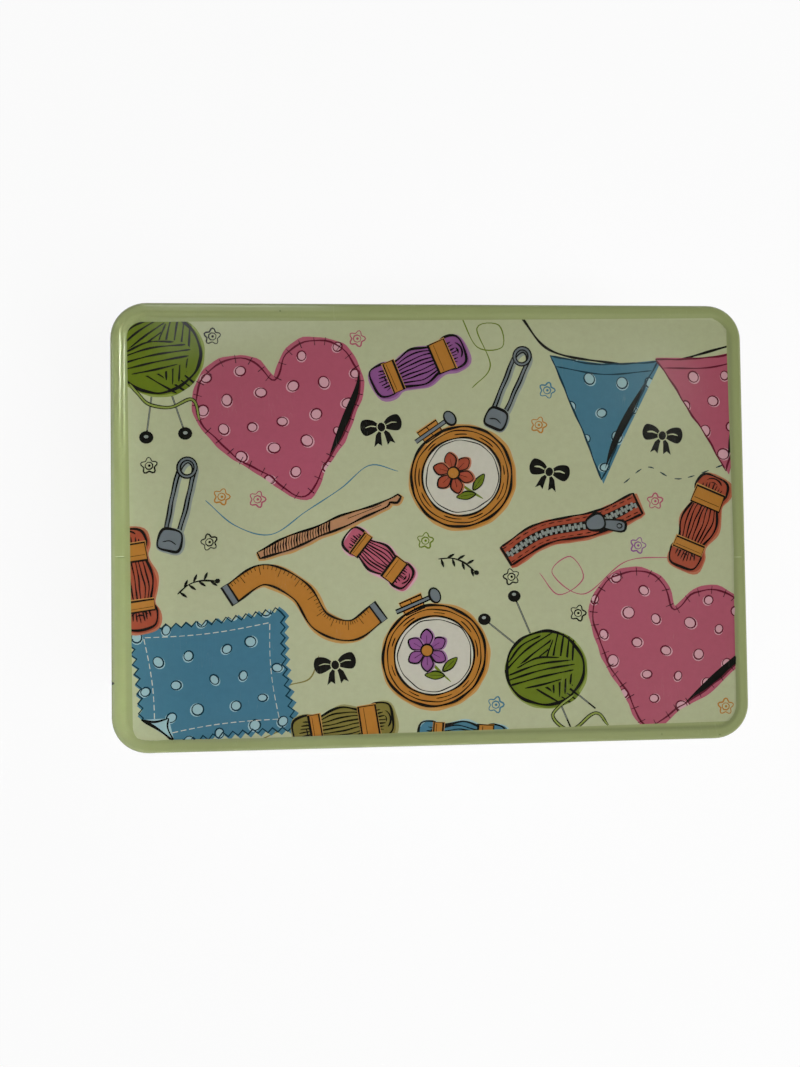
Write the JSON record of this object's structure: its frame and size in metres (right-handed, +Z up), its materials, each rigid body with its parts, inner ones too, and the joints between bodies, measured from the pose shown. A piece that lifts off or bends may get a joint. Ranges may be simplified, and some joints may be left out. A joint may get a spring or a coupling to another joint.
{
  "type": "sewing tin",
  "caption": "Rectangular tinplate storage tin with rounded corners and a slip-on lid that lifts off, the lid's panel set below a raised rim.",
  "frame": {"origin": "on the floor under the middle of the tin", "axes": "+X along the length to the right, +Y from the front to the back, where the lock seam is, +Z up"},
  "size_m": [0.2038, 0.1428, 0.07],
  "materials": {
    "green_enamel": "glossy sage green printing enamel over tinplate",
    "bare_tinplate": "bright tinplate under clear lacquer"
  },
  "bodies": {
    "tin": {"wall": "green_enamel", "base": "bare_tinplate"},
    "lid": {"lid": "green_enamel"}
  },
  "joints": [
    {"name": "lid_lift", "type": "slide", "parent": "tin", "child": "lid", "axis": [0, 0, 1], "range_m": [0, 0.09]}
  ]
}
